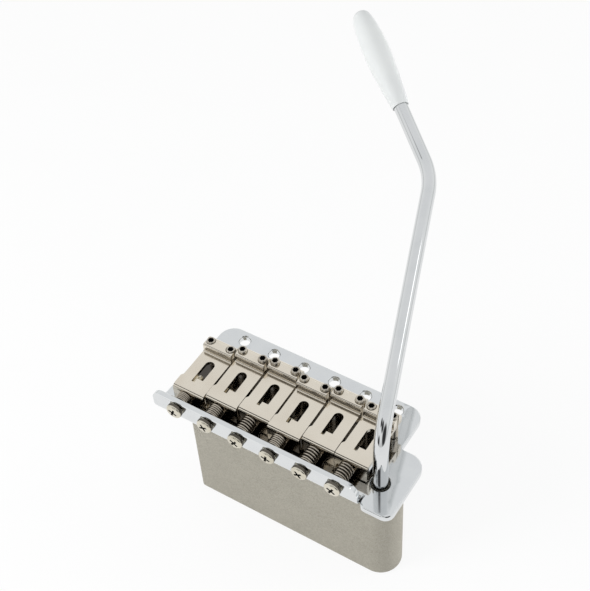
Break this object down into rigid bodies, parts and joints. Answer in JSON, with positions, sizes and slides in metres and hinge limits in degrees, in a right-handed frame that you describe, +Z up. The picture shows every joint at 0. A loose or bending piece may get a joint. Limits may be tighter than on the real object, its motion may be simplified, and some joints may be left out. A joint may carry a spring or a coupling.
{
  "type": "guitar tremolo bridge",
  "caption": "Six-screw guitar tremolo bridge: bent plate with sprung, height-adjustable saddles, a deep block below and a bent arm with a moulded tip.",
  "frame": {"origin": "middle of the pivot-hole row on the plate's underside", "axes": "+X from the bass side to the treble side, +Y towards the neck, +Z up from the guitar's top"},
  "size_m": [0.0832, 0.1268, 0.1115],
  "materials": {
    "chrome": "mirror plated",
    "cast_metal": "fine blasted",
    "nickel": "bright nickel",
    "screw_steel": "bright nickel",
    "spring_steel": "drawn wire",
    "white_plastic": "satin moulded"
  },
  "bodies": {
    "bridge": {"bridge_plate": "chrome", "tremolo_block": "cast_metal", "block_screws": "screw_steel"},
    "spring_1": {"intonation_spring_1": "spring_steel"},
    "screw_1": {"intonation_screw_1": "screw_steel"},
    "saddle_1": {"saddle_1": "nickel"},
    "height_screws_1": {"height_screw_1_bass": "screw_steel", "height_screw_1_treble": "screw_steel"},
    "spring_2": {"intonation_spring_2": "spring_steel"},
    "screw_2": {"intonation_screw_2": "screw_steel"},
    "saddle_2": {"saddle_2": "nickel"},
    "height_screws_2": {"height_screw_2_bass": "screw_steel", "height_screw_2_treble": "screw_steel"},
    "spring_3": {"intonation_spring_3": "spring_steel"},
    "screw_3": {"intonation_screw_3": "screw_steel"},
    "saddle_3": {"saddle_3": "nickel"},
    "height_screws_3": {"height_screw_3_bass": "screw_steel", "height_screw_3_treble": "screw_steel"},
    "spring_4": {"intonation_spring_4": "spring_steel"},
    "screw_4": {"intonation_screw_4": "screw_steel"},
    "saddle_4": {"saddle_4": "nickel"},
    "height_screws_4": {"height_screw_4_bass": "screw_steel", "height_screw_4_treble": "screw_steel"},
    "spring_5": {"intonation_spring_5": "spring_steel"},
    "screw_5": {"intonation_screw_5": "screw_steel"},
    "saddle_5": {"saddle_5": "nickel"},
    "height_screws_5": {"height_screw_5_bass": "screw_steel", "height_screw_5_treble": "screw_steel"},
    "spring_6": {"intonation_spring_6": "spring_steel"},
    "screw_6": {"intonation_screw_6": "screw_steel"},
    "saddle_6": {"saddle_6": "nickel"},
    "height_screws_6": {"height_screw_6_bass": "screw_steel", "height_screw_6_treble": "screw_steel"},
    "arm": {"arm_rod": "chrome", "arm_tip": "white_plastic"}
  },
  "joints": [
    {"name": "saddle_1_height", "type": "hinge", "parent": "bridge", "child": "spring_1", "pos_m": [-0.028, -0.03465, 0.0062], "axis": [1, 0, 0], "range_deg": [-1, 2.5]},
    {"name": "saddle_1_intonation", "type": "slide", "parent": "spring_1", "child": "saddle_1", "axis": [0, 1, 0.0052], "range_m": [-0.00015, 0.004], "deforming": ["intonation_spring_1"]},
    {"name": "screw_1_turn", "type": "hinge", "parent": "spring_1", "child": "screw_1", "pos_m": [-0.02913, -0.03465, 0.0062], "axis": [0, 1, 0.0052], "range_deg": [-2881, 109]},
    {"name": "height_screws_1_travel", "type": "slide", "parent": "saddle_1", "child": "height_screws_1", "axis": [0, -0.0052, 1], "range_m": [-0.001, 0.00041]},
    {"name": "saddle_2_height", "type": "hinge", "parent": "bridge", "child": "spring_2", "pos_m": [-0.0168, -0.03465, 0.0062], "axis": [1, 0, 0], "range_deg": [-1, 2.5]},
    {"name": "saddle_2_intonation", "type": "slide", "parent": "spring_2", "child": "saddle_2", "axis": [0, 0.9996, 0.0279], "range_m": [-0.00145, 0.004], "deforming": ["intonation_spring_2"]},
    {"name": "screw_2_turn", "type": "hinge", "parent": "spring_2", "child": "screw_2", "pos_m": [-0.01793, -0.03465, 0.0062], "axis": [0, 0.9996, 0.0279], "range_deg": [-2881, 1045]},
    {"name": "height_screws_2_travel", "type": "slide", "parent": "saddle_2", "child": "height_screws_2", "axis": [0, -0.0279, 0.9996], "range_m": [-0.00106, 0.00044]},
    {"name": "saddle_3_height", "type": "hinge", "parent": "bridge", "child": "spring_3", "pos_m": [-0.0056, -0.03465, 0.0062], "axis": [1, 0, 0], "range_deg": [-1, 2.5]},
    {"name": "saddle_3_intonation", "type": "slide", "parent": "spring_3", "child": "saddle_3", "axis": [0, 0.9998, 0.0209], "range_m": [-0.00255, 0.004], "deforming": ["intonation_spring_3"]},
    {"name": "screw_3_turn", "type": "hinge", "parent": "spring_3", "child": "screw_3", "pos_m": [-0.00673, -0.03465, 0.0062], "axis": [0, 0.9998, 0.0209], "range_deg": [-2881, 1837]},
    {"name": "height_screws_3_travel", "type": "slide", "parent": "saddle_3", "child": "height_screws_3", "axis": [0, -0.0209, 0.9998], "range_m": [-0.00111, 0.00046]},
    {"name": "saddle_4_height", "type": "hinge", "parent": "bridge", "child": "spring_4", "pos_m": [0.0056, -0.03465, 0.0062], "axis": [1, 0, 0], "range_deg": [-1, 2.5]},
    {"name": "saddle_4_intonation", "type": "slide", "parent": "spring_4", "child": "saddle_4", "axis": [0, 0.9994, 0.0349], "range_m": [-0.00145, 0.004], "deforming": ["intonation_spring_4"]},
    {"name": "screw_4_turn", "type": "hinge", "parent": "spring_4", "child": "screw_4", "pos_m": [0.00447, -0.03465, 0.0062], "axis": [0, 0.9994, 0.0349], "range_deg": [-2881, 1045]},
    {"name": "height_screws_4_travel", "type": "slide", "parent": "saddle_4", "child": "height_screws_4", "axis": [0, -0.0349, 0.9994], "range_m": [-0.00106, 0.00044]},
    {"name": "saddle_5_height", "type": "hinge", "parent": "bridge", "child": "spring_5", "pos_m": [0.0168, -0.03465, 0.0062], "axis": [1, 0, 0], "range_deg": [-1, 2.5]},
    {"name": "saddle_5_intonation", "type": "slide", "parent": "spring_5", "child": "saddle_5", "axis": [0, 0.9997, 0.0262], "range_m": [-0.00285, 0.004], "deforming": ["intonation_spring_5"]},
    {"name": "screw_5_turn", "type": "hinge", "parent": "spring_5", "child": "screw_5", "pos_m": [0.01567, -0.03465, 0.0062], "axis": [0, 0.9997, 0.0262], "range_deg": [-2881, 2053]},
    {"name": "height_screws_5_travel", "type": "slide", "parent": "saddle_5", "child": "height_screws_5", "axis": [0, -0.0262, 0.9997], "range_m": [-0.00112, 0.00046]},
    {"name": "saddle_6_height", "type": "hinge", "parent": "bridge", "child": "spring_6", "pos_m": [0.028, -0.03465, 0.0062], "axis": [1, 0, 0], "range_deg": [-1, 2.5]},
    {"name": "saddle_6_intonation", "type": "slide", "parent": "spring_6", "child": "saddle_6", "axis": [0, 1, 0.0035], "range_m": [-0.00285, 0.004], "deforming": ["intonation_spring_6"]},
    {"name": "screw_6_turn", "type": "hinge", "parent": "spring_6", "child": "screw_6", "pos_m": [0.02687, -0.03465, 0.0062], "axis": [0, 1, 0.0035], "range_deg": [-2881, 2053]},
    {"name": "height_screws_6_travel", "type": "slide", "parent": "saddle_6", "child": "height_screws_6", "axis": [0, -0.0035, 1], "range_m": [-0.00112, 0.00046]},
    {"name": "arm_swing", "type": "hinge", "parent": "bridge", "child": "arm", "pos_m": [0.0365, -0.0256, 0], "axis": [0, 0, 1], "range_deg": [-180, 90]}
  ],
  "couplings": [
    {"joint": "screw_1_turn", "follows": "saddle_1_intonation", "rad_per_m": -12566},
    {"joint": "height_screws_1_travel", "follows": "saddle_1_height", "m_per_rad": -0.02255},
    {"joint": "screw_2_turn", "follows": "saddle_2_intonation", "rad_per_m": -12566},
    {"joint": "height_screws_2_travel", "follows": "saddle_2_height", "m_per_rad": -0.02385},
    {"joint": "screw_3_turn", "follows": "saddle_3_intonation", "rad_per_m": -12566},
    {"joint": "height_screws_3_travel", "follows": "saddle_3_height", "m_per_rad": -0.02495},
    {"joint": "screw_4_turn", "follows": "saddle_4_intonation", "rad_per_m": -12566},
    {"joint": "height_screws_4_travel", "follows": "saddle_4_height", "m_per_rad": -0.02385},
    {"joint": "screw_5_turn", "follows": "saddle_5_intonation", "rad_per_m": -12566},
    {"joint": "height_screws_5_travel", "follows": "saddle_5_height", "m_per_rad": -0.02525},
    {"joint": "screw_6_turn", "follows": "saddle_6_intonation", "rad_per_m": -12566},
    {"joint": "height_screws_6_travel", "follows": "saddle_6_height", "m_per_rad": -0.02525}
  ]
}
